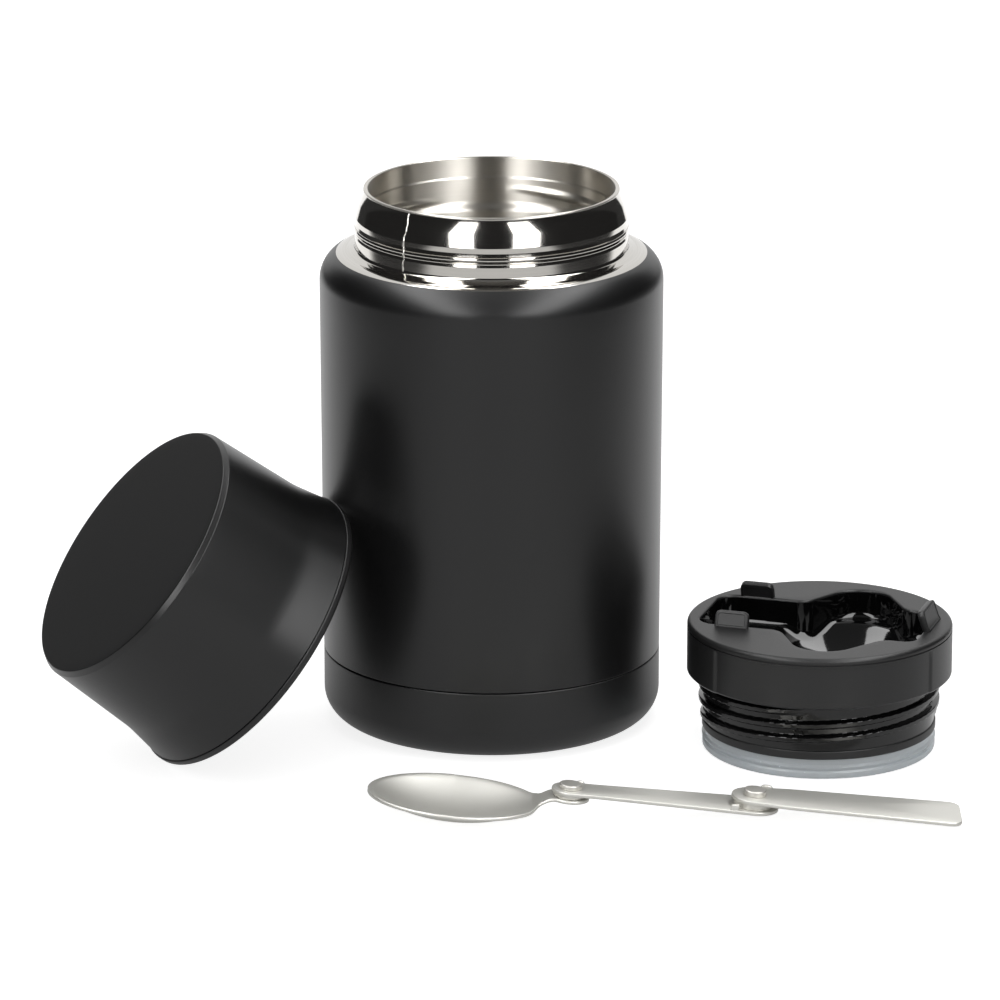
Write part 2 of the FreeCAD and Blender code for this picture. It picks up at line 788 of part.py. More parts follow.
# Handle: the widest arm, with rounded end corners.
handle_far = link_length + handle_length
waist_x = link_length + handle_waist_length
handle_plan = [
    (link_length, -handle_front_radius, 0),
    (waist_x, -handle_waist_half, handle_waist_length),
    (handle_far, -handle_end_half, handle_end_rounding),
    (handle_far, handle_end_half, handle_end_rounding),
    (waist_x, handle_waist_half, handle_waist_length),
    (link_length, handle_front_radius, 0),
]
handle = plate_solid(handle_plan, handle_bottom, plate)
handle = handle.fuse(cylinder(handle_front_radius, handle_bottom, plate, link_length))
handle = handle.cut(cylinder(rivet_radius + running_gap, handle_bottom, plate, link_length))
spoon_piece("spoon_handle", handle)

# Rivets and spacing washers of the two pivots.
front_foot = -plate - rivet_foot_height
rear_foot = link_bottom - rivet_foot_height
spoon_piece("rivet_front", rivet(link_top + running_gap, front_head_height, front_foot, 0))
spoon_piece("rivet_rear", rivet(handle_top + running_gap, rear_head_height, rear_foot, link_length))
washer_bore = rivet_radius + press_gap
front_thickness = front_spacer - running_gap
rear_thickness = rear_spacer - running_gap
spoon_piece("washer_front", ring(front_washer_radius, washer_bore, 0, front_thickness))
spoon_piece("washer_rear", ring(rear_washer_radius, washer_bore, link_top, rear_thickness, link_length))
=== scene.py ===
import json
import math
import bmesh
import bpy
from mathutils import Matrix, Vector


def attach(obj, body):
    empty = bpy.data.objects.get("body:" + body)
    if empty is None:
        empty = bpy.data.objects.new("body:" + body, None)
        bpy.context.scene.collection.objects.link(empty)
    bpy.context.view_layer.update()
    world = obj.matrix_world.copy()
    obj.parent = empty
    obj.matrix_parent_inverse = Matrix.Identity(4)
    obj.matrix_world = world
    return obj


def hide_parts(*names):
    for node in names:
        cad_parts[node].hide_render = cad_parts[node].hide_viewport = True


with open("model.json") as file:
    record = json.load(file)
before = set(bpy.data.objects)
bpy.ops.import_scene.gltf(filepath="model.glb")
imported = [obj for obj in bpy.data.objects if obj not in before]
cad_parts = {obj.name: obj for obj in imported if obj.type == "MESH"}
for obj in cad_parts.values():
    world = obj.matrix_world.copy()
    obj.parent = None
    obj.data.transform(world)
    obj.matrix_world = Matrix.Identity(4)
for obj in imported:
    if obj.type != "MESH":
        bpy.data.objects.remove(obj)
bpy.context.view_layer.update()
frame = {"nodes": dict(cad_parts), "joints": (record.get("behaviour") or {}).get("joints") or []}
mm = 0.001

# The camera stands where the photograph was taken: well back, a little above the jar, with a long
# lens. The picture is square.
camera_data = bpy.data.cameras.new("camera")
camera_data.sensor_width = 36.0
camera_data.lens = 259.07
camera_data.clip_end = 10.0
camera = bpy.data.objects.new("camera", camera_data)
camera.location = (0.00224, -1.8425, 0.61075)
camera.rotation_euler = (math.radians(90 - 16.67), 0, 0)
bpy.context.scene.collection.objects.link(camera)
bpy.context.scene.camera = camera


# Outer shell: one skin of 0.6 mm stainless steel, deep-drawn, with two beads rolled into its neck.
# It is sprayed with black polyester powder and baked, up to a clean edge just outside the neck.
# From there up the steel is bare and polished.
def linear(hex_colour):
    """An sRGB colour written as six hex digits, turned to linear RGBA."""
    channels = [int(hex_colour[index:index + 2], 16) / 255 for index in (0, 2, 4)]
    return [c / 12.92 if c <= 0.04045 else ((c + 0.055) / 1.055) ** 2.4 for c in channels] + [1.0]


def add(tree, kind, settings=None, inputs=None):
    """One node, with its settings, and with its inputs set or linked."""
    made = tree.nodes.new(kind)
    for name, value in (settings or {}).items():
        setattr(made, name, value)
    for name, value in (inputs or {}).items():
        socket = made.inputs[name]
        if isinstance(value, bpy.types.NodeSocket):
            tree.links.new(value, socket)
        else:
            socket.default_value = value
    return made


def finish_of(name, hex_colour, roughness, metallic=0.0):
    """A new material: its tree, its shader and its Object coordinates."""
    made = bpy.data.materials.new(name)
    made.use_nodes = True
    tree = made.node_tree
    shader = tree.nodes["Principled BSDF"]
    shader.inputs["Base Color"].default_value = linear(hex_colour)
    shader.inputs["Roughness"].default_value = roughness
    shader.inputs["Metallic"].default_value = metallic
    made.diffuse_color = linear(hex_colour)
    place = add(tree, "ShaderNodeTexCoord").outputs["Object"]
    return made, tree, shader, place


def dressed(tree, shader, tone_by, tones, gloss_by, gloss, height_by, depth):
    """Tone, gloss and bump, each following a pattern. The bump's depth is in millimetres."""
    tone = add(tree, "ShaderNodeMix", {"data_type": "RGBA"}, {
        0: tone_by, 6: linear(tones[0]), 7: linear(tones[1])})
    rough = add(tree, "ShaderNodeMapRange", inputs={
        "Value": gloss_by, "To Min": gloss[0], "To Max": gloss[1]})
    bump = add(tree, "ShaderNodeBump", inputs={"Height": height_by, "Distance": depth * mm, "Strength": 1.0})
    tree.links.new(tone.outputs[2], shader.inputs["Base Color"])
    tree.links.new(rough.outputs["Result"], shader.inputs["Roughness"])
    tree.links.new(bump.outputs["Normal"], shader.inputs["Normal"])


def grained(tree, shader, place, grain, depth, tones, gloss):
    """Fine grain in bump and gloss, and patches of tone forty grains wide, in millimetres."""
    fine = add(tree, "ShaderNodeTexNoise", inputs={
        "Vector": place, "Scale": 1 / (grain * mm), "Detail": 3.0}).outputs["Fac"]
    broad = add(tree, "ShaderNodeTexNoise", inputs={
        "Vector": place, "Scale": 1 / (40 * grain * mm), "Detail": 4.0}).outputs["Fac"]
    dressed(tree, shader, broad, tones, fine, gloss, fine, depth)


def turning_lines(tree, place, spacing, detail):
    """Fine rings about the jar's axis, such as turning leaves, this many millimetres apart."""
    height = add(tree, "ShaderNodeSeparateXYZ", inputs={"Vector": place}).outputs["Z"]
    across = add(tree, "ShaderNodeVectorMath", {"operation": "MULTIPLY"}, {0: place, 1: (1, 1, 0)}).outputs[0]
    reach = add(tree, "ShaderNodeVectorMath", {"operation": "LENGTH"}, {0: across}).outputs["Value"]
    ring = add(tree, "ShaderNodeCombineXYZ", inputs={"X": reach, "Z": height}).outputs["Vector"]
    return add(tree, "ShaderNodeTexNoise", inputs={
        "Vector": ring, "Scale": 1 / (spacing * mm), "Detail": detail}).outputs["Fac"]


def rounded(corners, step=7.5):
    """Points of a path through corners (a, b, rounding), in millimetres."""
    points = []
    for index, corner in enumerate(corners):
        here = Vector(corner[:2])
        rounding = corner[2] if len(corner) > 2 else 0
        if not rounding or index in (0, len(corners) - 1):
            points.append(here)
            continue
        to_last = (Vector(corners[index - 1][:2]) - here).normalized()
        to_next = (Vector(corners[index + 1][:2]) - here).normalized()
        half = math.acos(max(-1, min(1, to_last.dot(to_next)))) / 2
        inward = (to_last + to_next).normalized()
        centre = here + inward * (rounding / math.sin(half))
        start = here + to_last * (rounding / math.tan(half)) - centre
        end = here + to_next * (rounding / math.tan(half)) - centre
        sweep = start.angle(end)
        count = max(2, math.ceil(math.degrees(sweep) / step))
        for index_on_arc in range(count + 1):
            share = index_on_arc / count
            ray = start * math.sin((1 - share) * sweep) + end * math.sin(share * sweep)
            points.append(centre + ray / math.sin(sweep))
    return points


def rounded_loop(corners, step=7.5):
    """The same for a closed outline."""
    turned = list(corners[-1:]) + list(corners) + list(corners[:1])
    inner = rounded([(c[0], c[1], c[2] if len(c) > 2 else 0) for c in turned], step)
    return inner[1:-1]


def shifted(points, distance, closed=False):
    """A path moved to its left by a distance."""
    moved = []
    count = len(points)
    for index, here in enumerate(points):
        before = points[index - 1] if index or closed else None
        after = points[(index + 1) % count] if index < count - 1 or closed else None
        steps = (here - before if before else None, after - here if after else None)
        runs = [run.normalized() for run in steps if run]
        normal = Vector((-sum(run.y for run in runs), sum(run.x for run in runs))).normalized()
        lean = Vector((-runs[0].y, runs[0].x)).dot(normal)
        moved.append(here + normal * (distance / max(lean, 0.3)))
    return moved


def dense(points, spacing):
    """A path with its long runs divided."""
    fine = [points[0]]
    for here in points[1:]:
        last = fine[-1]
        count = max(1, math.ceil((here - last).length / spacing))
        fine += [last.lerp(here, (index + 1) / count) for index in range(count)]
    return fine


def turned_rows(points, turns=240, warp=None):
    """Rings of points about Z from a path (radius, height)."""
    rows = []
    for radius, height in points:
        if radius < 1e-6:
            rows.append([Vector((0, 0, height))])
            continue
        row = []
        for index in range(turns):
            angle = 2 * math.pi * index / turns
            reach = warp(radius, height, angle) if warp else radius
            row.append(Vector((reach * math.cos(angle), reach * math.sin(angle), height)))
        rows.append(row)
    return rows


def skin(name, rows, body, nodes, materials, loop=False, place=None, material_of=None, sharp=32):
    """A closed piece from rows of points in millimetres, placed, smoothed and tied to its body."""
    bm = bmesh.new()
    place = place or Matrix.Identity(4)
    made = []
    for row in rows:
        made.append([bm.verts.new((place @ point) * mm) for point in row])
    pairs = list(zip(made, made[1:])) + ([(made[-1], made[0])] if loop else [])
    for number, (low, high) in enumerate(pairs):
        count = max(len(low), len(high))
        for index in range(count if count > 1 else 0):
            following = (index + 1) % count
            if len(low) == 1:
                face = bm.faces.new((low[0], high[following], high[index]))
            elif len(high) == 1:
                face = bm.faces.new((low[index], low[following], high[0]))
            else:
                face = bm.faces.new((low[index], low[following], high[following], high[index]))
            face.smooth = True
            face.material_index = material_of(number) if material_of else 0
    if not loop:
        for row in (made[0], made[-1]):
            if len(row) > 1:
                bm.faces.new(row)
    bmesh.ops.recalc_face_normals(bm, faces=bm.faces)
    for edge in bm.edges:
        edge.smooth = len(edge.link_faces) != 2 or edge.calc_face_angle(0) < math.radians(sharp)
    mesh = bpy.data.meshes.new(name)
    bm.to_mesh(mesh)
    bm.free()
    for material in materials:
        mesh.materials.append(material)
    piece = bpy.data.objects.new(name, mesh)
    bpy.context.scene.collection.objects.link(piece)
    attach(piece, body)
    if nodes:
        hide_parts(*nodes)
    return piece


# Baked powder coating is a soft black with a very fine orange peel, which spreads highlights wide.
# Its grit is drawn at 0.45 mm so that it shows.
powder_coat, tree, shader, place = finish_of("powder_coated_steel", "0F0F10", 0.35)
grained(tree, shader, place, 0.45, 0.01, ("0D0D0E", "101011"), (0.32, 0.38))

# Polished stainless steel mirrors the room, a little broken by faint turning lines round the neck.
# They are drawn 0.35 mm apart so that they show.
polished_steel, tree, shader, place = finish_of("polished_stainless_steel", "C9C6C0", 0.08, 1.0)
lines = turning_lines(tree, place, 0.35, 2.0)
cloud = add(tree, "ShaderNodeTexNoise", inputs={
    "Vector": place, "Scale": 1 / (9 * mm), "Detail": 3.0}).outputs["Fac"]
dressed(tree, shader, lines, ("C2BFB9", "D0CDC8"), cloud, (0.05, 0.12), lines, 0.0012)

coat_edge_radius = 41.25
shell_wall = 0.6
shell_corners = [
    (34.0, 3.0), (43.3, 3.0, 7.0), (43.3, 19.3), (45.0, 19.3, 0.3), (45.6, 127.6, 8.0), (38.4, 128.55, 1.0),
    (36.2, 129.3, 0.9), (36.2, 132.6, 0.6), (36.0, 133.4, 0.5), (36.4, 134.5, 0.6), (36.25, 135.15),
    (35.95, 135.3), (36.15, 135.45), (36.0, 136.3, 0.6), (36.0, 137.7, 0.5), (33.85, 144.65), (33.85, 144.9),
]
shell_path = dense(rounded(shell_corners, 5), 6)
shell_outline = shell_path + shifted(shell_path, shell_wall)[::-1]


def shell_material(number):
    """Bare steel from the coat's edge up."""
    radius, height = shell_outline[number]
    bare = height > 126 and radius < coat_edge_radius and number < len(shell_path)
    return 1 if bare else 0


skin("jar_shell", turned_rows(shell_outline), "jar", ["outer_shell"],
     [powder_coat, polished_steel], loop=True, material_of=shell_material)

# Weld of the neck: the shell's blank is rolled and joined edge to edge, and the seam stays as a low,
# slightly wavy line of filler from the rim down over the neck. It is not ground off, and wanders by
# a fifth of a millimetre.
weld_angle = math.radians(-129.5)
weld_radius = 0.42
weld_sink = 0.24
neck_path = dense([point for point in shell_path if point.y > 129.6], 0.35)
weld_points = []
for point, inner in zip(neck_path, shifted(neck_path, 1.0)):
    sway = 0.16 * math.sin(0.9 * point.y) + 0.07 * math.sin(2.7 * point.y + 1.0)
    spot = point + (inner - point) * weld_sink
    angle = weld_angle + sway / point.x
    weld_points.append(Vector((spot.x * math.cos(angle), spot.x * math.sin(angle), spot.y)) * mm)
weld_line = bpy.data.meshes.new("neck_weld")
weld_line.from_pydata(weld_points, [(index, index + 1) for index in range(len(weld_points) - 1)], [])


def growing_tree(name, source, inputs, output):
    """A geometry tree, its geometry input first, and the identifiers of its other inputs."""
    tree = bpy.data.node_groups.new(name, "GeometryNodeTree")
    tree.interface.new_socket(source, in_out="INPUT", socket_type="NodeSocketGeometry")
    identifiers = {}
    for label, kind, value in inputs:
        socket = tree.interface.new_socket(label, in_out="INPUT", socket_type=kind)
        identifiers[label] = socket.identifier
        if value is not None:
            socket.default_value = value
    tree.interface.new_socket(output, in_out="OUTPUT", socket_type="NodeSocketGeometry")
    return tree, identifiers


# The bead swells and narrows along its line, as it does where the torch pauses.
weld_tree, weld_sockets = growing_tree("weld_bead", "Line", (
    ("Bead Radius", "NodeSocketFloat", weld_radius * mm),
    ("Ripple Length", "NodeSocketFloat", 1.6 * mm),
    ("Ripple Share", "NodeSocketFloat", 0.3),
    ("Seed", "NodeSocketFloat", 4.0),
    ("Finish", "NodeSocketMaterial", None),
), "Bead")
given = add(weld_tree, "NodeGroupInput").outputs
line = add(weld_tree, "GeometryNodeMeshToCurve", inputs={"Mesh": given["Line"]}).outputs["Curve"]
line = add(weld_tree, "GeometryNodeResampleCurve", {"mode": "LENGTH"}, {
    "Curve": line, "Length": 0.2 * mm}).outputs["Curve"]
run = add(weld_tree, "GeometryNodeSplineParameter").outputs["Length"]
pitch = add(weld_tree, "ShaderNodeMath", {"operation": "DIVIDE"}, {
    0: run, 1: given["Ripple Length"]}).outputs[0]
ripple = add(weld_tree, "ShaderNodeTexNoise", {"noise_dimensions": "2D"}, {"Scale": 1.0, "Detail": 1.0})
steps = add(weld_tree, "ShaderNodeCombineXYZ", inputs={"X": pitch, "Y": given["Seed"]}).outputs["Vector"]
weld_tree.links.new(steps, ripple.inputs["Vector"])
swell = add(weld_tree, "ShaderNodeMath", {"operation": "MULTIPLY_ADD"}, {
    0: ripple.outputs["Fac"], 1: given["Ripple Share"], 2: 0.85}).outputs[0]
section = add(weld_tree, "GeometryNodeCurvePrimitiveCircle", inputs={
    "Resolution": 14, "Radius": given["Bead Radius"]})
bead = add(weld_tree, "GeometryNodeCurveToMesh", inputs={
    "Curve": line, "Profile Curve": section.outputs["Curve"], "Scale": swell,
    "Fill Caps": True}).outputs["Mesh"]
bead = add(weld_tree, "GeometryNodeRealizeInstances", inputs={"Geometry": bead}).outputs["Geometry"]
bead = add(weld_tree, "GeometryNodeSetShadeSmooth", inputs={"Geometry": bead}).outputs["Geometry"]
bead = add(weld_tree, "GeometryNodeSetMaterial", inputs={
    "Geometry": bead, "Material": given["Finish"]}).outputs["Geometry"]
add(weld_tree, "NodeGroupOutput", inputs={"Bead": bead})

# Weld metal is left as it cooled: bright, a little duller than the polished sheet, and finely rippled.
weld_steel, tree, shader, place = finish_of("welded_steel", "D6D3CD", 0.2, 1.0)
grained(tree, shader, place, 0.4, 0.01, ("CAC7C1", "DCDAD4"), (0.14, 0.26))


def grown(name, mesh, tree, settings, body, nodes):
    """The plain mesh that a tree makes of this one, tied to its body."""
    source = bpy.data.objects.new(name + "_source", mesh)
    bpy.context.scene.collection.objects.link(source)
    modifier = source.modifiers.new("tree", "NODES")
    modifier.node_group = tree
    for identifier, value in settings.items():
        modifier[identifier] = value
    made = bpy.data.meshes.new_from_object(source.evaluated_get(bpy.context.evaluated_depsgraph_get()))
    source.modifiers.remove(modifier)
    bpy.data.objects.remove(source)
    made.name = name
    piece = bpy.data.objects.new(name, made)
    bpy.context.scene.collection.objects.link(piece)
    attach(piece, body)
    if nodes:
        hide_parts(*nodes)
    return piece


grown("neck_weld", weld_line, weld_tree, {weld_sockets["Finish"]: weld_steel}, "jar", [])


# Liner: the food vessel, a drawn cup of 0.5 mm stainless steel, electropolished. Its mouth carries a
# two-start thread pressed into the sheet, and its top edge is rolled out over the shell and welded.
thread_lead = 7.5
thread_proud = 1.3
end_taper = 14


def ridge_share(angle, height, first, bottom, turns, foot, crest):
    """How far up a two-start ridge stands at this place, from 0 to 1. Its ends taper off quickly."""
    best = 0.0
    for start in range(2):
        turned = (math.degrees(angle) - first - 180 * start) % 360 / 360
        while turned <= turns:
            across = (foot / 2 - abs(height - bottom - thread_lead * turned)) / ((foot - crest) / 2)
            ends = min(1.0, turned * end_taper, (turns - turned) * end_taper)
            rise = max(0.0, min(1.0, across)) * max(0.0, ends)
            best = max(best, rise * rise * (3 - 2 * rise))
            turned += 1
    return best


liner_corners = [
    (0, 9.0), (40.6, 9.0, 6.0), (40.6, 125.2, 8.0), (30.9, 125.2, 1.5), (30.9, 131.2, 1.5),
    (32.4, 132.8, 1.5), (32.4, 139.5, 0.5), (32.7, 140.0, 0.5), (32.7, 144.9), (32.7, 145.3, 0.3),
    (33.85, 145.3, 0.3), (33.85, 144.9),
]
liner_path = rounded(liner_corners, 6)
roll_start = Vector((33.2, 144))
rolled_edge = [point for point in liner_path if point.x > roll_start.x and point.y > roll_start.y]
inner_side = [point for point in liner_path if point not in rolled_edge]
thread_from = 131.4
thread_to = 140.2
low_wall = dense([point for point in inner_side if point.y < 131.5], 6)
threaded_wall = dense([point for point in inner_side if thread_from < point.y < thread_to], 0.24)
mouth_wall = [point for point in inner_side if point.y > thread_to]
food_side = low_wall + threaded_wall + mouth_wall
liner_wall = 0.5
back_side = shifted([point for point in dense(inner_side, 6) if point.y < 144.95], -liner_wall)[::-1]


def liner_reach(radius, height, angle):
    """The thread bulges inward on the food side of the mouth."""
    if thread_from < height < thread_to and radius < 32.6:
        share = ridge_share(angle, height, first=-67, bottom=133.6, turns=0.42, foot=3.0, crest=0.4)
        return radius - thread_proud * share
    return radius


# Steel electropolished after spinning keeps its turning lines, which smear reflections up and down
# the wall. They are drawn 0.5 mm apart.
liner_steel, tree, shader, place = finish_of("electropolished_steel", "CFCBC3", 0.34, 1.0)
lines = turning_lines(tree, place, 0.5, 3.0)
cloud = add(tree, "ShaderNodeTexNoise", inputs={
    "Vector": place, "Scale": 1 / (7 * mm), "Detail": 4.0}).outputs["Fac"]
dressed(tree, shader, lines, ("CBC7BF", "D5D1CA"), cloud, (0.3, 0.38), lines, 0.003)
upright = add(tree, "ShaderNodeVectorTransform", {
    "vector_type": "VECTOR", "convert_from": "OBJECT", "convert_to": "WORLD"}, {"Vector": (0, 0, 1)})
shader.inputs["Anisotropic"].default_value = 1.0
tree.links.new(upright.outputs["Vector"], shader.inputs["Tangent"])
skin("food_liner", turned_rows(food_side + rolled_edge + back_side, 360, liner_reach), "jar", ["inner_liner"],
     [liner_steel])

# Base cap: a thick moulded cup of black polypropylene, pressed on over the shell's drawn-in end. A
# fine open seam shows where the two meet. Spark-eroded moulding leaves it an even, low black sheen, a
# little duller than the coat above.
base_plastic, tree, shader, place = finish_of("moulded_base_plastic", "0F0F10", 0.4)
grained(tree, shader, place, 0.5, 0.01, ("0E0E0F", "121213"), (0.37, 0.44))
base_corners = [(0, 0), (45.0, 0, 8.0), (45.0, 19.05, 0.3), (43.4, 19.05), (43.4, 3.0, 7.1), (0, 3.0)]
skin("base_cup", turned_rows(rounded(base_corners, 5)), "jar", ["base_cap"], [base_plastic])


def finish_plain(node, material):
    """A hidden node keeps its plain shape and gets its real surface."""
    for filled in frame["nodes"][node].material_slots:
        filled.material = material


# Hidden between the two walls: the closing disc, the solder-glass pellet that seals the vacuum, the
# getter on its strap and the bright foil round the liner. They keep their plain shapes.
# Cold-rolled steel is grey and softly streaked, with no polish.
disc_steel, tree, shader, place = finish_of("cold_rolled_steel", "A9A6A1", 0.35, 1.0)
grained(tree, shader, place, 0.6, 0.01, ("A09D98", "B3B0AB"), (0.28, 0.42))
finish_plain("bottom_disc", disc_steel)
finish_plain("getter_strap", disc_steel)
# Solder glass is a dark wet-looking drop, clouded where it cooled.
solder_glass, tree, shader, place = finish_of("solder_glass", "2B2C2E", 0.15)
grained(tree, shader, place, 0.8, 0.02, ("26272A", "323336"), (0.1, 0.2))
finish_plain("seal_pellet", solder_glass)
# Sintered getter powder is a dull, sandy grey.
getter_alloy, tree, shader, place = finish_of("sintered_getter_alloy", "5B5956", 0.75, 1.0)
grained(tree, shader, place, 0.3, 0.03, ("504E4B", "666461"), (0.65, 0.85))
finish_plain("getter_pill", getter_alloy)
# Rolled aluminium foil is bright and faintly crumpled.
bright_foil, tree, shader, place = finish_of("rolled_aluminium_foil", "DCDDDE", 0.15, 1.0)
grained(tree, shader, place, 2.5, 0.05, ("D4D5D6", "E2E3E4"), (0.1, 0.22))
finish_plain("radiation_foil", bright_foil)

# Cup lid: a drawn steel cup, satin black outside and in, leaning on the jar with its closed end up
# and to the left. Its mouth flares and ends inside the rounded lip of a moulded black liner.
cup_turn = Matrix.Rotation(math.radians(-160.1), 4, "Z") @ Matrix.Rotation(math.radians(90 - 38.3), 4, "Y")
cup_place = Matrix.Translation((-63.7573, -30.5474, 31.7737)) @ cup_turn
cup_corners = [(40.5, 2.2), (38.6, 13.0, 25.0), (37.35, 39.9, 0.45), (36.45, 41.3, 0.45), (0, 41.3)]
cup_path = dense(rounded(cup_corners, 4), 3)
cup_outline = cup_path + [Vector((max(point.x, 0), point.y)) for point in shifted(cup_path, 0.6)[::-1]]
cup_outline[len(cup_path)] = Vector((0, 40.7))
# Sprayed satin coating is smoother than the jar's powder, so its highlights are long and soft.
satin_coat, tree, shader, place = finish_of("satin_black_coat", "0D0D0E", 0.33)
grained(tree, shader, place, 0.45, 0.008, ("0C0C0D", "0F0F10"), (0.3, 0.36))
skin("cup_shell_piece", turned_rows(cup_outline, 288), "cup", ["cup_shell"], [satin_coat],
     loop=True, place=cup_place)
cup_liner_corners = [
    (37.4, 0, 0.3), (40.9, 0, 0.8), (40.9, 2.0, 0.3), (39.8, 2.0), (37.9, 13.0, 20.0), (37.85, 16.0),
    (36.7, 16.0, 0.2), (36.7, 9.8, 0.3), (36.0, 8.6, 0.7), (36.7, 7.4, 0.3),
]
# The moulded ring is matte beside the coated steel, so that the lip reads as a separate piece.
liner_plastic, tree, shader, place = finish_of("moulded_liner_plastic", "111112", 0.4)
grained(tree, shader, place, 0.5, 0.01, ("101011", "141415"), (0.36, 0.44))
skin("cup_liner_ring", turned_rows(rounded_loop(cup_liner_corners, 6), 288), "cup", ["cup_liner"],
     [liner_plastic], loop=True, place=cup_place)


# Stopper: a matte cover and a glossy black body moulded in one, the body carrying the thread below
# and, on top, the recess that holds the folded spoon.
stopper_turn = 17
stopper_place = Matrix.Translation((86.9, -27.0, 0)) @ Matrix.Rotation(math.radians(-stopper_turn), 4, "Z")
cover_radius = 35.1
cover_top = 34.2
recess_floor = 26.5
recess_shift = 1.1
recess_centre = Vector((3.0, recess_shift))
half_outline = [
    (-30.8, 13.1, 5.0), (-7.5, 13.1, 5.0), (0.8, 27.4, 8.6), (10.8, 27.4, 8.6), (20.0, 13.1, 5.0),
    (28.6, 13.1, 3.2),
]
outline_corners = half_outline + [(a, -b, rounding) for a, b, rounding in half_outline[::-1]]
recess_outline = rounded_loop([(a, b + recess_shift, rounding) for a, b, rounding in outline_corners], 5)
rays = 480


def outline_reach(angle):
    """How far the recess reaches from its centre in this direction."""
    ray = Vector((math.cos(angle), math.sin(angle)))
    farthest = 0
    for index, here in enumerate(recess_outline):
        run = recess_outline[index - 1] - here
        start = here - recess_centre
        crossing = ray.x * run.y - ray.y * run.x
        if abs(crossing) < 1e-9:
            continue
        distance = (start.x * run.y - start.y * run.x) / crossing
        share = (start.x * ray.y - start.y * ray.x) / crossing
        if distance > 0 and -1e-6 <= share <= 1 + 1e-6:
            farthest = max(farthest, distance)
    return recess_centre + ray * farthest


recess_edge = [outline_reach(2 * math.pi * index / rays) for index in range(rays)]
recess_edge_out = [after - here for here, after in zip(recess_edge, shifted(recess_edge, -1.0, closed=True))]
rim_points = []
for point in recess_edge:
    ray = (point - recess_centre).normalized()
    along = recess_centre.dot(ray)
    reach = math.sqrt(along ** 2 - recess_centre.length_squared + cover_radius ** 2) - along
    rim_points.append(recess_centre + ray * reach)


def edge_row(offset, height):
    """The recess's outline moved outward by an offset."""
    moved = [point + out * offset for point, out in zip(recess_edge, recess_edge_out)]
    return [Vector((point.x, point.y, height)) for point in moved]


def rim_row(radius, height, warp=None):
    """A circle about the stopper's axis, at the same rays."""
    row = []
    for point in rim_points:
        angle = math.atan2(point.y, point.x)
        reach = warp(radius, height, angle) if warp else radius
        row.append(Vector((reach * math.cos(angle), reach * math.sin(angle), height)))
    return row


grip_depth = 0.35
grip_half_angle = 54.5


def grip_reach(radius, height, angle):
    """The skirt is sunk a little over a wide stretch at the front and at the back."""
    if radius < 34.2 or height > 31.9:
        return radius
    turned = math.degrees(angle) - stopper_turn
    share = 0.0
    for middle in (-90, 90):
        off = abs((turned - middle + 180) % 360 - 180)
        share = max(share, max(0.0, min(1.0, grip_half_angle - off)))
    return radius - grip_depth * share


cover_rows = [edge_row(0.02, 32.2), edge_row(0.0, 33.5)]
for step in range(6):
    turn = math.radians(15 + 15 * step)
    cover_rows.append(edge_row(0.6 - 0.6 * math.cos(turn), 33.6 + 0.6 * math.sin(turn)))
flat_steps = 5
inner_flat = cover_rows[-1]
outer_flat = rim_row(cover_radius - 1.2, cover_top)
for step in range(1, flat_steps):
    cover_rows.append([a.lerp(b, step / flat_steps) for a, b in zip(inner_flat, outer_flat)])
cover_rows.append(outer_flat)
side_corners = [
    (33.9, 34.2), (35.1, 34.2, 1.15), (35.1, 32.7), (34.8, 32.7), (34.8, 32.3), (35.1, 32.3), (35.1, 31.95),
    (35.1, 31.8), (35.1, 20.7), (34.5, 20.1), (33.05, 20.1), (33.05, 32.2),
]
side_path = dense(rounded(side_corners, 9), 2.5)
cover_rows += [rim_row(point.x, point.y, grip_reach) for point in side_path[1:]]
# The cover's fine mould texture breaks highlights up, so it looks dry beside the glossy recess.
cover_plastic, tree, shader, place = finish_of("fine_textured_plastic", "121213", 0.42)
grained(tree, shader, place, 0.4, 0.012, ("101011", "151516"), (0.38, 0.47))
skin("stopper_cover_piece", cover_rows, "stopper", ["stopper_cover"], [cover_plastic],
     loop=True, place=stopper_place)


def slab(corners, low, high, bevel, across, panel=0.0):
    """Rows of a flat plate with softened edges, and a faint sunk panel if one is asked for."""
    outline = rounded_loop(corners, 12)
    turn = sum(p.x * q.y - q.x * p.y for p, q in zip(outline, outline[1:] + outline[:1]))
    inward = bevel if turn > 0 else -bevel
    shrunk = shifted(outline, inward, closed=True)
    slim = shifted(outline, inward * 0.3, closed=True)
    middle = sum(shrunk, Vector((0, 0))) / len(shrunk)
    rows = [[across(middle.x, middle.y, low + panel)]]
    if panel:
        framed = shifted(outline, inward * 3.0, closed=True)
        sunk = shifted(outline, inward * 3.6, closed=True)
        rows += [[across(p.x, p.y, low + panel) for p in sunk], [across(p.x, p.y, low) for p in framed]]
    levels = (
        (shrunk, low), (slim, low + bevel * 0.3), (outline, low + bevel),
        (outline, high - bevel), (slim, high - bevel * 0.3), (shrunk, high),
    )
    for points, height in levels:
        rows.append([across(p.x, p.y, height) for p in points])
    if panel:
        rows += [[across(p.x, p.y, high) for p in framed], [across(p.x, p.y, high - panel) for p in sunk]]
    return rows + [[across(middle.x, middle.y, high - panel)]]


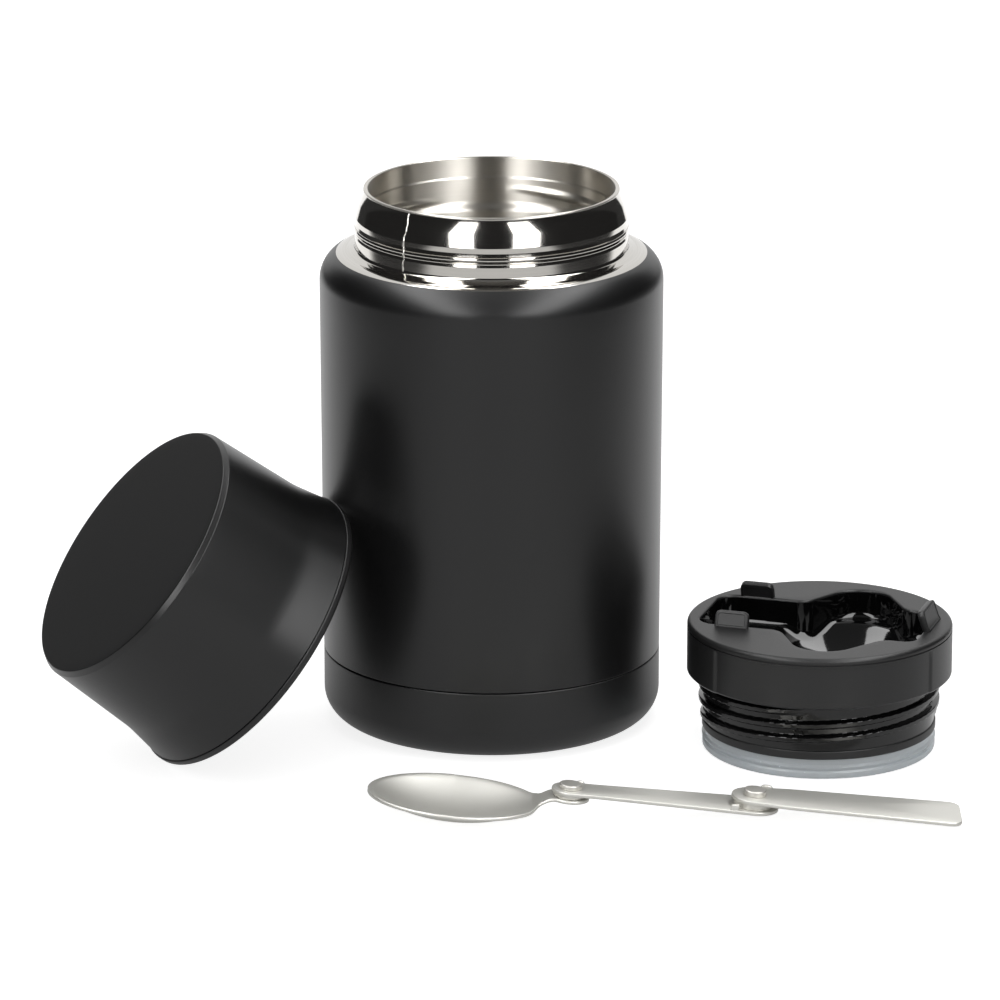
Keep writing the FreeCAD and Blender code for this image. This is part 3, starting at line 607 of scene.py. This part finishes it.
# Three tabs stand on the recess's edge and lean a little over it, to hold the folded spoon. Each has
# its length, height, place and the way it faces.
tab_thickness = 1.9
tab_lean = math.radians(20)
recess_back = recess_shift + 13.1
recess_front = recess_shift - 13.1
tabs = {
    "stopper_tab_back": (9.0, 3.8, -21.0, recess_back, 0),
    "stopper_tab_front": (9.0, 3.8, -20.7, recess_front, 180),
    "stopper_tab_right": (12.4, 5.2, 28.6, recess_shift + 2.4, 270),
}
for name, (length, height, x, y, facing) in tabs.items():
    foot_place = stopper_place @ Matrix.Translation((x, y, cover_top))
    tab_place = foot_place @ Matrix.Rotation(math.radians(facing), 4, "Z") @ Matrix.Rotation(tab_lean, 4, "X")
    corners = [(-length / 2, -1.0), (length / 2, -1.0), (length / 2, height, 1.6), (-length / 2, height, 1.6)]
    rows = slab(corners, 0, tab_thickness, 0.25, lambda a, b, c: Vector((a, c, b)), 0.12)
    skin(name, rows, "stopper", [], [cover_plastic], place=tab_place)


scoop_radius = 34.25
scoop_low = 18.5
scoop_x = 5.0
scoop_blend = 0.3


def scoop_height(x, y):
    """The recess's floor: flat, with a round hollow for the spoon's bowl, the two blended."""
    off = (x - scoop_x) ** 2 + (y - recess_shift) ** 2
    ball = scoop_low + scoop_radius - math.sqrt(max(scoop_radius ** 2 - off, 1.0))
    gap = (ball - recess_floor) / scoop_blend
    if gap >= 20:
        return recess_floor
    return recess_floor + scoop_blend * (gap - math.log1p(math.exp(gap)))


body_rows = [[Vector((recess_centre.x, recess_centre.y, scoop_height(*recess_centre)))]]
floor_rings = 44
wall_fillet = 1.6
for step in range(1, floor_rings + 1):
    share = math.sin(math.pi / 2 * step / floor_rings)
    row = []
    for point, out in zip(recess_edge, recess_edge_out):
        foot = point - out * wall_fillet
        spot = recess_centre + (foot - recess_centre) * share
        row.append(Vector((spot.x, spot.y, scoop_height(*spot))))
    body_rows.append(row)
for step in range(1, 7):
    turn = math.radians(15 * step)
    row = []
    for point, out in zip(recess_edge, recess_edge_out):
        spot = point - out * (wall_fillet * (1 - math.sin(turn)))
        row.append(Vector((spot.x, spot.y, scoop_height(*spot) + wall_fillet * (1 - math.cos(turn)))))
    body_rows.append(row)
wall_foot = body_rows[-1]
lip_row = edge_row(0.0, 33.5)
for step in range(1, 5):
    body_rows.append([a.lerp(b, step / 4) for a, b in zip(wall_foot, lip_row)])


def thread_reach(radius, height, angle):
    """The stopper's thread stands proud of the wall."""
    if 30 < radius < 31 and 7.7 < height < 20:
        share = ridge_share(angle, height, first=184, bottom=9.0, turns=1.27, foot=2.5, crest=0.9)
        return radius + thread_proud * share
    return radius


outside_path = [Vector(p) for p in ((33.0, 32.15), (33.0, 20.15), (30.7, 20.15))]
thread_rows = 114
thread_row_gap = 0.11
outside_path += [Vector((30.7, 20.1 - thread_row_gap * step)) for step in range(thread_rows)]
outside_path += [Vector(p) for p in ((28.4, 7.6), (28.4, 15.5))]
body_rows.append(edge_row(0.05, 32.15))
body_rows += [rim_row(point.x, point.y, thread_reach) for point in outside_path]
body_rows.append([Vector((0, 0, 15.5))])
# Plastic from a polished mould is a deep wet black. The slow waves of its shrinkage bend reflections.
gloss_plastic, tree, shader, place = finish_of("polished_black_plastic", "090909", 0.06)
waves = add(tree, "ShaderNodeTexNoise", inputs={
    "Vector": place, "Scale": 1 / (14 * mm), "Detail": 1.0}).outputs["Fac"]
fine = add(tree, "ShaderNodeTexNoise", inputs={
    "Vector": place, "Scale": 1 / (0.6 * mm), "Detail": 3.0}).outputs["Fac"]
dressed(tree, shader, fine, ("090909", "0D0D0E"), fine, (0.045, 0.085), waves, 0.035)
skin("stopper_body_piece", body_rows, "stopper", ["stopper_body"], [gloss_plastic],
     place=stopper_place)

# Stopper base: a matte black disc welded on under the thread, with a stub that the seal grips. The
# foam it shuts in keeps its plain shape. The disc is a dull even black, with no bright edge.
inner_plastic, tree, shader, place = finish_of("matte_moulded_plastic", "111112", 0.44)
grained(tree, shader, place, 0.4, 0.01, ("101011", "141415"), (0.4, 0.5))
stub_corners = [
    (0, 0.6), (27.5, 0.6, 0.4), (27.5, 5.3), (31.0, 5.3, 0.3), (31.0, 7.58, 0.3), (25.5, 7.58), (25.5, 2.2),
    (0, 2.2),
]
skin("stopper_base_piece", turned_rows(rounded(stub_corners, 12)), "stopper", ["stopper_base"],
     [inner_plastic], place=stopper_place)
# Expanded foam is an off-white mass of beads, about 2 mm wide, with no shine.
foam, tree, shader, place = finish_of("expanded_polystyrene", "E9E7E0", 0.8)
grained(tree, shader, place, 2.0, 0.1, ("E2E0D8", "F0EEE8"), (0.7, 0.9))
finish_plain("stopper_foam", foam)

# Seal: a ring of clear silicone rubber, moulded with a thin lip and a groove, stretched over the stub.
seal_corners = [
    (27.52, 0), (30.9, 0, 0.5), (30.9, 1.6, 0.3), (30.4, 2.1, 0.2), (31.15, 3.1, 0.3), (30.4, 3.6, 0.2),
    (30.4, 5.28, 0.25), (27.52, 5.28),
]
# Clear silicone glows a cool white at its edges, where light passes through and scatters.
silicone, tree, shader, place = finish_of("clear_silicone_rubber", "F0F6FA", 0.25)
grained(tree, shader, place, 0.8, 0.006, ("EAF2F8", "F4F8FB"), (0.2, 0.3))
shader.inputs["IOR"].default_value = 1.41
shader.inputs["Transmission Weight"].default_value = 0.4
shader.inputs["Subsurface Weight"].default_value = 0.3
shader.inputs["Subsurface Radius"].default_value = (0.003, 0.003, 0.003)
skin("seal_ring", turned_rows(rounded_loop(seal_corners, 12)), "stopper", ["gasket"], [silicone],
     loop=True, place=stopper_place)

# Folding spoon: 1 mm stainless steel sheet, blanked, pressed and tumbled to a satin face with bright
# rounded edges. It lies open on its belly and on the handle's end.
joints = {joint["name"]: joint for joint in frame["joints"]}
front_pivot = Vector(joints["front_pivot"]["pos_m"]) / mm
rear_pivot = Vector(joints["rear_pivot"]["pos_m"]) / mm
spoon_up = -Vector(joints["front_pivot"]["axis"])
spoon_along = (rear_pivot - front_pivot).normalized()
spoon_across = spoon_up.cross(spoon_along)
spoon_place = Matrix((spoon_along, spoon_across, spoon_up)).transposed().to_4x4()
spoon_place.translation = front_pivot
spoon_tilt = math.asin(-spoon_along.z)
link_length = (rear_pivot - front_pivot).length
sheet = 1.0

# Satin stainless sheet has a fine grain along its length, drawn 0.3 mm wide and 9 mm long. It
# spreads the room's light into a soft, even grey.
satin_steel, tree, shader, place = finish_of("satin_stainless_sheet", "CECDC7", 0.5, 1.0)
turned = add(tree, "ShaderNodeMapping", inputs={
    "Vector": place, "Rotation": (0, -spoon_tilt, 0)}).outputs["Vector"]
mapped = add(tree, "ShaderNodeMapping", inputs={"Vector": turned, "Scale": (0.033, 1, 1)}).outputs["Vector"]
lines = add(tree, "ShaderNodeTexNoise", inputs={
    "Vector": mapped, "Scale": 1 / (0.3 * mm), "Detail": 2.0}).outputs["Fac"]
cloud = add(tree, "ShaderNodeTexNoise", inputs={
    "Vector": turned, "Scale": 1 / (11 * mm), "Detail": 3.0}).outputs["Fac"]
dressed(tree, shader, cloud, ("CBCAC4", "D2D1CC"), lines, (0.47, 0.54), lines, 0.001)

bowl_middle = -29.6
bowl_half_length = 22.4
bowl_half_width = 17.0
bowl_depth = 5.7
bowl_rim = -2.9
bowl_curve = (bowl_half_width ** 2 + bowl_depth ** 2) / (2 * bowl_depth)
neck_half_width = 4.0
plate_radius = 5.2
plate_start = -3.3
neck_rise_start = -10.5
neck_rise_length = 6.6


def smooth_most(a, b, blend):
    """The larger of two, with a rounded change from one to the other."""
    return (a + b + math.sqrt((a - b) ** 2 + blend ** 2)) / 2


def bowl_width(x):
    """Half the width of the bowl and its neck at this place."""
    along = (x - bowl_middle) / bowl_half_length
    if x <= bowl_middle:
        return bowl_half_width * math.sqrt(max(0, 1 - along ** 2))
    egg = bowl_half_width * math.sqrt(max(0, 1 - along ** 2)) if along < 1 else 0
    width = smooth_most(egg, neck_half_width, 1.6 * max(0, min(1, along)))
    if x > -plate_radius:
        end = math.sqrt(max(0, plate_radius ** 2 - x ** 2))
        if x > 0:
            return end
        return max(width, end if x > plate_start else width)
    return width


def bowl_height(x, y):
    """The top face of the bowl, its rim, its neck and the plate under the link."""
    stretch = bowl_half_length / bowl_half_width
    off = ((x - bowl_middle) / stretch) ** 2 + y ** 2
    hollow = bowl_rim - bowl_depth + bowl_curve - math.sqrt(max(0, bowl_curve ** 2 - off)) + sheet
    rise = max(0, min(1, (x - neck_rise_start) / neck_rise_length))
    flange = bowl_rim + 0.1
    neck = flange - flange * rise * rise * (3 - 2 * rise)
    if x < bowl_middle:
        return min(hollow, flange)
    return neck if x > -9 else -smooth_most(-hollow, -neck, 0.5)


edge_round = 0.42
bowl_rows = []
bowl_tip = bowl_middle - bowl_half_length
stations = 120
for step in range(stations + 1):
    x = bowl_tip + (plate_radius - bowl_tip) * (1 - math.cos(math.pi * step / stations)) / 2
    width = bowl_width(x)
    if width < 0.05:
        bowl_rows.append([Vector((x, 0, bowl_height(x, 0) - sheet / 2))])
        continue
    inner = max(width - edge_round, width * 0.3)
    row = []
    for index in range(25):
        y = inner * math.sin(math.pi / 2 * (index / 12 - 1))
        row.append(Vector((x, y, bowl_height(x, y))))
    side = bowl_height(x, inner)
    for turn in (60, 30, 0, -30, -60):
        reach = (width - inner) * math.cos(math.radians(turn))
        row.append(Vector((x, inner + reach, side - sheet / 2 + sheet / 2 * math.sin(math.radians(turn)))))
    for index in range(25):
        y = -inner * math.sin(math.pi / 2 * (index / 12 - 1))
        row.append(Vector((x, y, bowl_height(x, y) - sheet)))
    for turn in (-60, -30, 0, 30, 60):
        reach = (width - inner) * math.cos(math.radians(turn))
        row.append(Vector((x, -inner - reach, side - sheet / 2 + sheet / 2 * math.sin(math.radians(turn)))))
    bowl_rows.append(row)
skin("bowl_piece", bowl_rows, "spoon", ["spoon_bowl"], [satin_steel], place=spoon_place,
     sharp=50)


# Two arms of flat sheet, the handle wider than the link, each with a bent-up stop beside its pivot.
def lying(a, b, c):
    return Vector((a, b, c))


def arm_outline(start, half_start, corners):
    """A round end about a pivot, joined to the rest of the outline."""
    round_end = []
    for step in range(13):
        turn = math.radians(90 + 15 * step)
        round_end.append((start + half_start * math.cos(turn), half_start * math.sin(turn)))
    return round_end + corners


link_bottom = 1.0
handle_bottom = 3.7
link_end_radius = 6.5
link_end = []
for degrees in range(-96, 97, 12):
    turn = math.radians(degrees)
    link_end.append((link_length + link_end_radius * math.cos(turn), link_end_radius * math.sin(turn)))
link_corners = arm_outline(0, 4.8, [(6.5, -4.6, 8)] + link_end + [(6.5, 4.6, 8)])
skin("link_piece", slab(link_corners, link_bottom, link_bottom + sheet, 0.22, lying), "link", ["spoon_link"],
     [satin_steel], place=spoon_place, sharp=50)
handle_far = link_length + 53.5
handle_corners = arm_outline(link_length, 6.0, [
    (link_length + 9.0, -7.15, 12.0), (handle_far, -8.6, 3.0), (handle_far, 8.6, 3.0),
    (link_length + 9.0, 7.15, 12.0),
])
skin("handle_piece", slab(handle_corners, handle_bottom, handle_bottom + sheet, 0.22, lying), "handle",
     ["spoon_handle"], [satin_steel], place=spoon_place, sharp=50)

# Each stop is a lug of the sheet, bent up past the arm above it. The link also has a small rest near
# its rear pivot, which the folded handle lies over.
ears = {
    "bowl_stop": ("spoon", 1.5, 3.9, 5.1, -1.0, 2.2, 1.0),
    "link_stop": ("link", link_length + 1.5, link_length + 5.3, 7.375, 1.0, 4.9, 1.6),
}
for name, (body, near, far, inner, low, high, rounding) in ears.items():
    corners = [(near, low), (far, low), (far, high, rounding), (near, high, rounding)]
    rows = slab(corners, inner, inner + 1.1, 0.25, lambda a, b, c: Vector((a, c, b)))
    skin(name, rows, body, [], [satin_steel], place=spoon_place, sharp=50)
    foot = [(near, inner / 2), (far, inner / 2), (far, inner + 0.8), (near, inner + 0.8)]
    skin(name + "_foot", slab(foot, low, low + sheet, 0.15, lying), body, [], [satin_steel],
         place=spoon_place, sharp=50)
rest_corners = [(41.5, -6.1), (43.4, -6.1), (43.4, -4.95), (41.5, -4.95)]
skin("link_rest", slab(rest_corners, link_bottom, 3.45, 0.2, lying), "link", [], [satin_steel],
     place=spoon_place, sharp=50)

# Rivets and spacing washers of the two pivots: turned steel, the heads flat with a broken edge. Their
# faces are a shade rougher than the sheet, so each pivot stands out from the arms it joins.
turned_steel, tree, shader, place = finish_of("turned_steel_rivet", "CFCDC7", 0.45, 1.0)
grained(tree, shader, place, 0.35, 0.012, ("C8C6C0", "D6D4CF"), (0.4, 0.5))


# One tree turns a profile about its pivot, for both rivets and both washers. The profile's first
# number is its radius, kept in X, and its second its height, kept in Y, which the sweep lays downward.
lathe, lathe_sockets = growing_tree("turned_profile", "Profile", (
    ("Facets", "NodeSocketInt", 96),
    ("Arm", "NodeSocketFloat", 10 * mm),
    ("Finish", "NodeSocketMaterial", None),
), "Turned")
given = add(lathe, "NodeGroupInput").outputs
back = add(lathe, "ShaderNodeMath", {"operation": "MULTIPLY"}, {0: given["Arm"], 1: -1.0}).outputs[0]
offset = add(lathe, "ShaderNodeCombineXYZ", inputs={"X": back}).outputs["Vector"]
section = add(lathe, "GeometryNodeSetPosition", inputs={
    "Geometry": given["Profile"], "Offset": offset}).outputs["Geometry"]
section = add(lathe, "GeometryNodeMeshToCurve", inputs={"Mesh": section}).outputs["Curve"]
path = add(lathe, "GeometryNodeCurvePrimitiveCircle", inputs={
    "Resolution": given["Facets"], "Radius": given["Arm"]}).outputs["Curve"]
swept = add(lathe, "GeometryNodeCurveToMesh", inputs={
    "Curve": path, "Profile Curve": section}).outputs["Mesh"]
swept = add(lathe, "GeometryNodeMergeByDistance", inputs={
    "Geometry": swept, "Distance": 0.001 * mm}).outputs["Geometry"]
swept = add(lathe, "GeometryNodeRealizeInstances", inputs={"Geometry": swept}).outputs["Geometry"]
swept = add(lathe, "GeometryNodeSetMaterial", inputs={
    "Geometry": swept, "Material": given["Finish"]}).outputs["Geometry"]
add(lathe, "NodeGroupOutput", inputs={"Turned": swept})


def turned_part(name, profile, closed, body, node, where):
    """A rivet or washer, turned from its profile, smoothed, and stood on its pivot."""
    mesh = bpy.data.meshes.new(name)
    points = [(point.x * mm, -point.y * mm, 0) for point in profile]
    edges = [(index, index + 1) for index in range(len(points) - 1)]
    if closed:
        edges.append((len(points) - 1, 0))
    mesh.from_pydata(points, edges, [])
    piece = grown(name, mesh, lathe, {lathe_sockets["Finish"]: turned_steel}, body, [node])
    bm = bmesh.new()
    bm.from_mesh(piece.data)
    bm.transform(Matrix.Translation(where.translation * mm) @ where.to_3x3().to_4x4())
    bmesh.ops.recalc_face_normals(bm, faces=bm.faces)
    for face in bm.faces:
        face.smooth = True
    for edge in bm.edges:
        edge.smooth = edge.calc_face_angle(0) < math.radians(32)
    bm.to_mesh(piece.data)
    bm.free()


def rivet_profile(foot, head, height):
    """A shouldered rivet: low foot, shank, and a flat head with a broken edge."""
    return rounded([
        (0, foot), (2.6, foot, 0.15), (2.6, foot + 0.5, 0.1), (1.6, foot + 0.5), (1.6, head),
        (2.95, head, 0.1), (2.95, head + height, 0.35), (0, head + height),
    ], 15)


rear_place = spoon_place @ Matrix.Translation((link_length, 0, 0))
turned_part("front_rivet", rivet_profile(-1.5, 2.05, 1.2), False, "spoon", "rivet_front", spoon_place)
turned_part("rear_rivet", rivet_profile(0.5, 4.75, 1.5), False, "link", "rivet_rear", rear_place)
for name, node, body, radius, low, high, where in (
        ("front_washer", "washer_front", "spoon", 4.2, 0.0, 0.95, spoon_place),
        ("rear_washer", "washer_rear", "link", 5.2, 2.0, 3.65, rear_place)):
    profile = rounded_loop([(1.62, low), (radius, low, 0.15), (radius, high, 0.15), (1.62, high)], 30)
    turned_part(name, profile, True, body, node, where)

# The table is a wide plain white sheet. It keeps the soft shadow of the things on it, and uncoated
# paper gives no shine of its own.
floor_mesh = bpy.data.meshes.new("table_top")
floor_half = 4
floor_height = -0.0003
floor_sides = ((-1, -1), (1, -1), (1, 1), (-1, 1))
floor_corners = [(x * floor_half, y * floor_half, floor_height) for x, y in floor_sides]
floor_mesh.from_pydata(floor_corners, [], [(0, 1, 2, 3)])
floor = bpy.data.objects.new("table_top", floor_mesh)
bpy.context.scene.collection.objects.link(floor)
paper, tree, shader, place = finish_of("white_paper", "D8D8D8", 0.9)
shader.inputs["Specular IOR Level"].default_value = 0.0
light_path = add(tree, "ShaderNodeLightPath").outputs
mirrored = add(tree, "ShaderNodeMath", {"operation": "MAXIMUM"}, {
    0: light_path["Is Glossy Ray"], 1: light_path["Is Transmission Ray"]}).outputs[0]
along = add(tree, "ShaderNodeSeparateXYZ", inputs={"Vector": place}).outputs
# Painted light: shiny faces see the table glow, dimmer in front and brighter toward the back, as a painted
# spill of the backdrop's light. The camera sees an even glow, under the lamp's real shadow.
spill = add(tree, "ShaderNodeMapRange", inputs={
    "Value": along["Y"], "From Min": -0.1, "From Max": 0.2, "To Min": 0.28, "To Max": 0.8})
glow = add(tree, "ShaderNodeMath", {"operation": "MULTIPLY"}, {
    0: mirrored, 1: spill.outputs["Result"]}).outputs[0]
glow = add(tree, "ShaderNodeMath", {"operation": "MULTIPLY_ADD"}, {
    0: light_path["Is Camera Ray"], 1: 0.82, 2: glow})
shader.inputs["Emission Color"].default_value = (1, 1, 1, 1)
tree.links.new(glow.outputs[0], shader.inputs["Emission Strength"])
# Beyond half a metre to each side, shiny faces see painted shade in place of the table: a dim glow that only
# reflections show.
sideways = add(tree, "ShaderNodeMath", {"operation": "ABSOLUTE"}, {0: along["X"]}).outputs[0]
beyond = add(tree, "ShaderNodeMapRange", {"interpolation_type": "SMOOTHSTEP"}, {
    "Value": sideways, "From Min": 0.47, "From Max": 0.53}).outputs["Result"]
reflected_shade_share = add(tree, "ShaderNodeMath", {"operation": "MULTIPLY"}, {0: beyond, 1: mirrored}).outputs[0]
dark = add(tree, "ShaderNodeEmission", inputs={
    "Color": (0.04, 0.04, 0.04, 1), "Strength": 1.0}).outputs["Emission"]
both = add(tree, "ShaderNodeMixShader", inputs={
    0: reflected_shade_share, 1: shader.outputs["BSDF"], 2: dark}).outputs["Shader"]
tree.links.new(both, tree.nodes["Material Output"].inputs["Surface"])
floor_mesh.materials.append(paper)

# The room: a white backdrop behind the things, dim walls at the sides, in front and overhead, and plain
# white for the camera. Two long soft panels slope up over the things, one on each side of the camera:
# they are what the shiny faces show. A broad dim lamp above gives the shadow.
world = bpy.data.worlds.new("studio")
bpy.context.scene.world = world
world.use_nodes = True
tree = world.node_tree
background = tree.nodes["Background"]
direction = add(tree, "ShaderNodeTexCoord").outputs["Generated"]
heading = add(tree, "ShaderNodeSeparateXYZ", inputs={"Vector": direction}).outputs
sideways = add(tree, "ShaderNodeMath", {"operation": "ARCTAN2"}, {
    0: heading["X"], 1: heading["Y"]}).outputs[0]
right_end = add(tree, "ShaderNodeMapRange", {"interpolation_type": "SMOOTHSTEP"}, {
    "Value": sideways, "From Min": math.radians(33), "From Max": math.radians(39),
    "To Min": 1.0, "To Max": 0.02}).outputs["Result"]
left_end = add(tree, "ShaderNodeMapRange", {"interpolation_type": "SMOOTHSTEP"}, {
    "Value": sideways, "From Min": math.radians(-36), "From Max": math.radians(-30),
    "To Min": 0.02, "To Max": 1.0}).outputs["Result"]
behind = add(tree, "ShaderNodeMath", {"operation": "MINIMUM"}, {0: right_end, 1: left_end}).outputs[0]
above = add(tree, "ShaderNodeMapRange", {"interpolation_type": "SMOOTHSTEP"}, {
    "Value": heading["Z"], "From Min": 0.75, "From Max": 0.86,
    "To Min": 0.0, "To Max": 1.0}).outputs["Result"]
shade = add(tree, "ShaderNodeMix", {"data_type": "FLOAT"}, {0: above, 2: behind, 3: 0.2}).outputs[0]
light_path = add(tree, "ShaderNodeLightPath").outputs
shiny = add(tree, "ShaderNodeMath", {"operation": "MAXIMUM"}, {
    0: light_path["Is Glossy Ray"], 1: light_path["Is Transmission Ray"]}).outputs[0]
other = add(tree, "ShaderNodeMix", {"data_type": "FLOAT"}, {0: shiny, 2: 0.6, 3: shade}).outputs[0]
strength = add(tree, "ShaderNodeMix", {"data_type": "FLOAT"}, {
    0: light_path["Is Camera Ray"], 2: other, 3: 1.0}).outputs[0]
background.inputs["Color"].default_value = (1, 1, 1, 1)
tree.links.new(strength, background.inputs["Strength"])


def soft_panel(name, low_corner, high_corner, radiance):
    """A flat soft lamp between two x limits, sloping up and back over the things."""
    lamp = bpy.data.lights.new(name, "AREA")
    lamp.shape = "RECTANGLE"
    rise = Vector(high_corner[1:]) - Vector(low_corner[1:])
    lamp.size = abs(high_corner[0] - low_corner[0])
    lamp.size_y = rise.length
    lamp.energy = radiance * math.pi * lamp.size * lamp.size_y
    made = bpy.data.objects.new(name, lamp)
    made.location = (Vector(low_corner) + Vector(high_corner)) / 2
    made.rotation_euler = (math.atan2(rise.y, rise.x), 0, 0)
    bpy.context.scene.collection.objects.link(made)
    return made


panel_right = soft_panel("soft_panel_right", (0.3, -1.2, 0.25), (0.74, 0.8, 1.43), 6.0)
panel_left = soft_panel("soft_panel_left", (-0.245, -1.2, 0.25), (-0.62, 0.8, 1.43), 6.0)
for panel in (panel_right, panel_left):
    panel.visible_diffuse = False
above_lamp = soft_panel("soft_lamp_above", (-0.6, -0.6, 1.3), (0.6, 0.4, 1.3), 0.9)
above_lamp.visible_glossy = False
above_lamp.visible_transmission = False
bpy.context.scene.view_settings.view_transform = "Standard"
